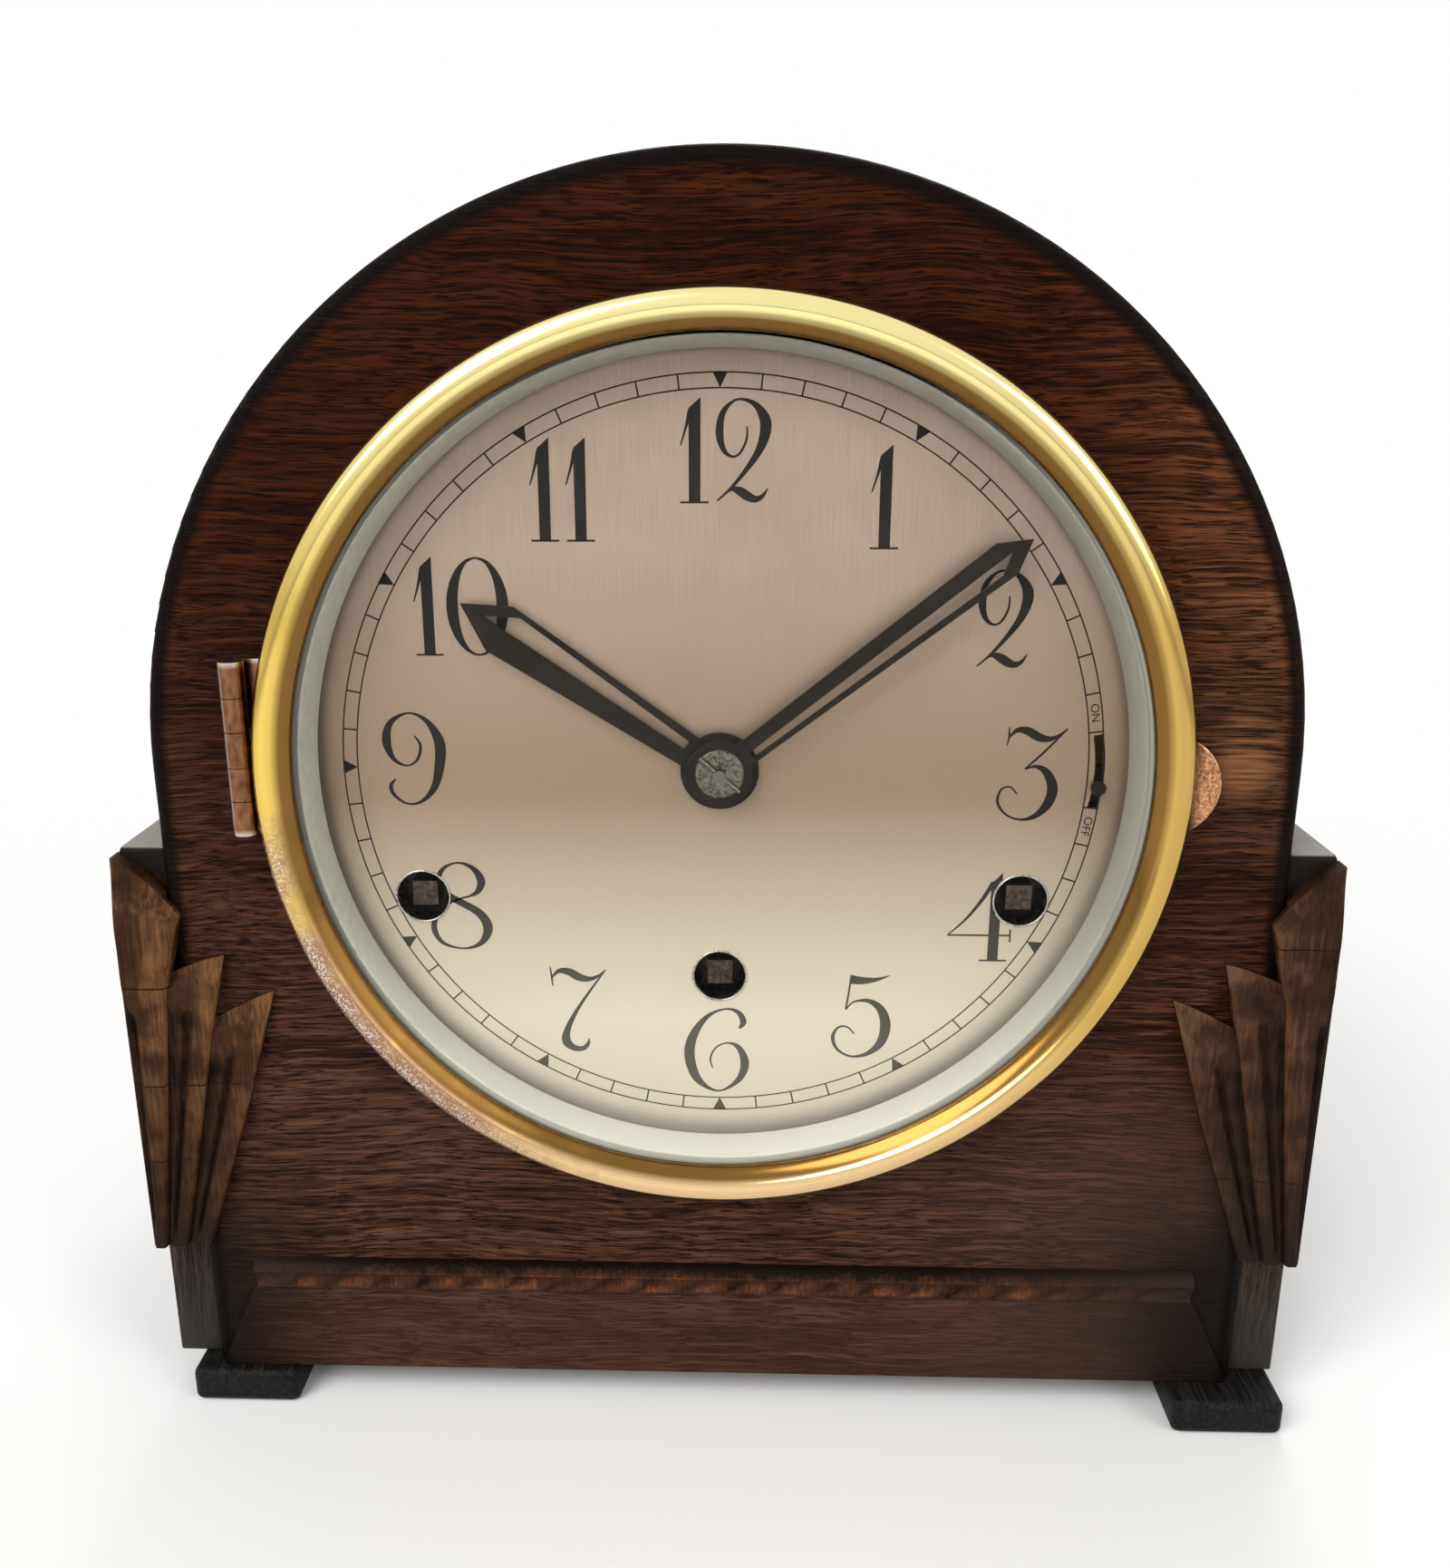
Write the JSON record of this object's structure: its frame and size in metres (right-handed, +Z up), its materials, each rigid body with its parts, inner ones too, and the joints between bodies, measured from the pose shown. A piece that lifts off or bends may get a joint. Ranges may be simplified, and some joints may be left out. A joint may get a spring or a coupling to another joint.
{
  "type": "mantel clock",
  "caption": "Arch-top oak chiming mantel clock with a hinged brass bezel, silvered dial, skeleton hands, carved fans, pendulum movement and a hinged back door.",
  "frame": {"origin": "on the table under the middle of the clock's bounding box", "axes": "+X to the right as the dial is read, +Y from the dial to the back door, +Z up"},
  "size_m": [0.235, 0.1372, 0.2475],
  "materials": {
    "oak": "dark stained oak, satin polish",
    "carved_oak": "carved oak, stained and worn on the ridges",
    "ebonised": "ebonised wood, satin",
    "bezel_brass": "spun brass, lacquered and worn",
    "hinge_brass": "coppery worn brass",
    "glass": "clear convex glass",
    "sight": "pale grey-green enamelled ring",
    "silvered": "silvered champagne dial, brushed",
    "blackened": "black hands, satin",
    "steel": "polished steel",
    "plate_brass": "rolled brass, brushed",
    "iron": "cast iron, painted"
  },
  "bodies": {
    "case": {"front_board": "oak", "arch_shell": "oak", "left_pillar": "oak", "right_pillar": "oak", "left_carved_fan": "carved_oak", "right_carved_fan": "carved_oak", "plinth_rail": "oak", "carved_bead": "carved_oak", "bottom_board": "oak", "left_foot": "ebonised", "right_foot": "ebonised", "back_frame": "oak", "bezel_hinge_case_leaf": "hinge_brass", "bezel_hinge_pin": "hinge_brass", "dial_plate": "silvered", "front_plate": "plate_brass", "back_plate": "plate_brass", "plate_pillars": "plate_brass", "movement_bolts": "steel", "suspension_cock": "plate_brass", "chime_rod_block": "iron", "chime_rods": "steel", "hammer_arbor": "steel", "back_hinge_fixed_leaves": "hinge_brass", "back_hinge_pins": "hinge_brass"},
    "bezel": {"bezel_ring": "bezel_brass", "bezel_glass": "glass", "sight_ring": "sight", "bezel_hinge_leaf": "hinge_brass", "thumb_tab": "hinge_brass"},
    "minute_work": {"minute_hand": "blackened", "hand_washer": "steel", "taper_pin": "steel", "cannon_pinion": "plate_brass", "centre_wheel": "plate_brass"},
    "hour_work": {"hour_hand": "blackened", "hour_wheel": "plate_brass"},
    "minute_wheel": {"minute_wheel": "plate_brass"},
    "intermediate_wheel": {"intermediate_wheel": "plate_brass"},
    "going_barrel": {"going_barrel": "plate_brass"},
    "strike_barrel": {"strike_barrel": "plate_brass"},
    "chime_barrel": {"chime_barrel": "plate_brass"},
    "third_wheel": {"third_wheel": "plate_brass"},
    "escape_wheel": {"escape_wheel": "plate_brass"},
    "pallets": {"pallets": "steel"},
    "pendulum": {"suspension_spring": "steel", "pendulum_rod": "steel", "pendulum_bob": "plate_brass", "rating_nut": "plate_brass"},
    "going_arbor": {"going_winding_arbor": "steel"},
    "strike_arbor": {"strike_winding_arbor": "steel"},
    "chime_arbor": {"chime_winding_arbor": "steel"},
    "chime_lever": {"chime_lever": "blackened"},
    "back_door": {"back_door": "oak", "back_hinge_door_leaves": "hinge_brass"},
    "door_catch": {"door_catch": "hinge_brass"},
    "hammer_1": {"chime_hammer_1": "plate_brass"},
    "hammer_2": {"chime_hammer_2": "plate_brass"},
    "hammer_3": {"chime_hammer_3": "plate_brass"},
    "hammer_4": {"chime_hammer_4": "plate_brass"}
  },
  "joints": [
    {"name": "bezel_hinge", "type": "hinge", "parent": "case", "child": "bezel", "pos_m": [-0.0894, -0.0626, 0.1445], "axis": [0, 0, -1], "range_deg": [0, 120]},
    {"name": "minute_turn", "type": "hinge", "parent": "case", "child": "minute_work", "pos_m": [0, -0.0594, 0.1383], "axis": [0, 1, 0], "continuous": true},
    {"name": "minute_wheel_turn", "type": "hinge", "parent": "case", "child": "minute_wheel", "pos_m": [-0.00848, -0.0594, 0.12982], "axis": [0, 1, 0], "continuous": true},
    {"name": "hour_turn", "type": "hinge", "parent": "case", "child": "hour_work", "pos_m": [0, -0.0594, 0.1383], "axis": [0, 1, 0], "continuous": true},
    {"name": "intermediate_turn", "type": "hinge", "parent": "case", "child": "intermediate_wheel", "pos_m": [0.00396, -0.0594, 0.12125], "axis": [0, 1, 0], "continuous": true},
    {"name": "going_barrel_turn", "type": "hinge", "parent": "case", "child": "going_barrel", "pos_m": [0, -0.0594, 0.0953], "axis": [0, 1, 0], "continuous": true},
    {"name": "third_turn", "type": "hinge", "parent": "case", "child": "third_wheel", "pos_m": [-0.00836, -0.0594, 0.15278], "axis": [0, 1, 0], "continuous": true},
    {"name": "escape_turn", "type": "hinge", "parent": "case", "child": "escape_wheel", "pos_m": [0, -0.0594, 0.16623], "axis": [0, 1, 0], "continuous": true},
    {"name": "strike_barrel_turn", "type": "hinge", "parent": "case", "child": "strike_barrel", "pos_m": [-0.059, -0.0594, 0.1118], "axis": [0, 1, 0], "continuous": true},
    {"name": "chime_barrel_turn", "type": "hinge", "parent": "case", "child": "chime_barrel", "pos_m": [0.059, -0.0594, 0.1118], "axis": [0, 1, 0], "continuous": true},
    {"name": "going_winding", "type": "hinge", "parent": "case", "child": "going_arbor", "pos_m": [0, -0.0594, 0.0953], "axis": [0, 1, 0], "range_deg": [0, 2520]},
    {"name": "strike_winding", "type": "hinge", "parent": "case", "child": "strike_arbor", "pos_m": [-0.059, -0.0594, 0.1118], "axis": [0, 1, 0], "range_deg": [0, 2520]},
    {"name": "chime_winding", "type": "hinge", "parent": "case", "child": "chime_arbor", "pos_m": [0.059, -0.0594, 0.1118], "axis": [0, 1, 0], "range_deg": [0, 2520]},
    {"name": "pendulum_swing", "type": "hinge", "parent": "case", "child": "pendulum", "pos_m": [0, -0.0594, 0.18173], "axis": [0, 1, 0], "range_deg": [-3, 3]},
    {"name": "pallet_rock", "type": "hinge", "parent": "case", "child": "pallets", "pos_m": [0, -0.0594, 0.18173], "axis": [0, 1, 0], "range_deg": [-3, 3]},
    {"name": "chime_lever_swing", "type": "hinge", "parent": "case", "child": "chime_lever", "pos_m": [0.04, -0.0594, 0.1383], "axis": [0, -1, 0], "range_deg": [-5.5, 16]},
    {"name": "hammer_1_lift", "type": "hinge", "parent": "case", "child": "hammer_1", "pos_m": [0.03, -0.0594, 0.0783], "axis": [0, -1, 0], "range_deg": [0, 16]},
    {"name": "hammer_2_lift", "type": "hinge", "parent": "case", "child": "hammer_2", "pos_m": [0.03, -0.0594, 0.0783], "axis": [0, -1, 0], "range_deg": [0, 16]},
    {"name": "hammer_3_lift", "type": "hinge", "parent": "case", "child": "hammer_3", "pos_m": [0.03, -0.0594, 0.0783], "axis": [0, -1, 0], "range_deg": [0, 16]},
    {"name": "hammer_4_lift", "type": "hinge", "parent": "case", "child": "hammer_4", "pos_m": [0.03, -0.0594, 0.0783], "axis": [0, -1, 0], "range_deg": [0, 16]},
    {"name": "back_door_hinge", "type": "hinge", "parent": "case", "child": "back_door", "pos_m": [-0.085, 0.06215, 0.1383], "axis": [0, 0, 1], "range_deg": [0, 110]},
    {"name": "catch_turn", "type": "hinge", "parent": "back_door", "child": "door_catch", "pos_m": [0.075, 0.0606, 0.1195], "axis": [0, 1, 0], "range_deg": [0, 90]}
  ],
  "couplings": [
    {"joint": "minute_wheel_turn", "follows": "minute_turn", "ratio": -0.33333},
    {"joint": "hour_turn", "follows": "minute_turn", "ratio": 0.083333},
    {"joint": "intermediate_turn", "follows": "minute_turn", "ratio": -0.16667},
    {"joint": "going_barrel_turn", "follows": "minute_turn", "ratio": 0.027778},
    {"joint": "third_turn", "follows": "minute_turn", "ratio": -10},
    {"joint": "escape_turn", "follows": "minute_turn", "ratio": 100},
    {"joint": "pallet_rock", "follows": "pendulum_swing", "ratio": 1}
  ]
}
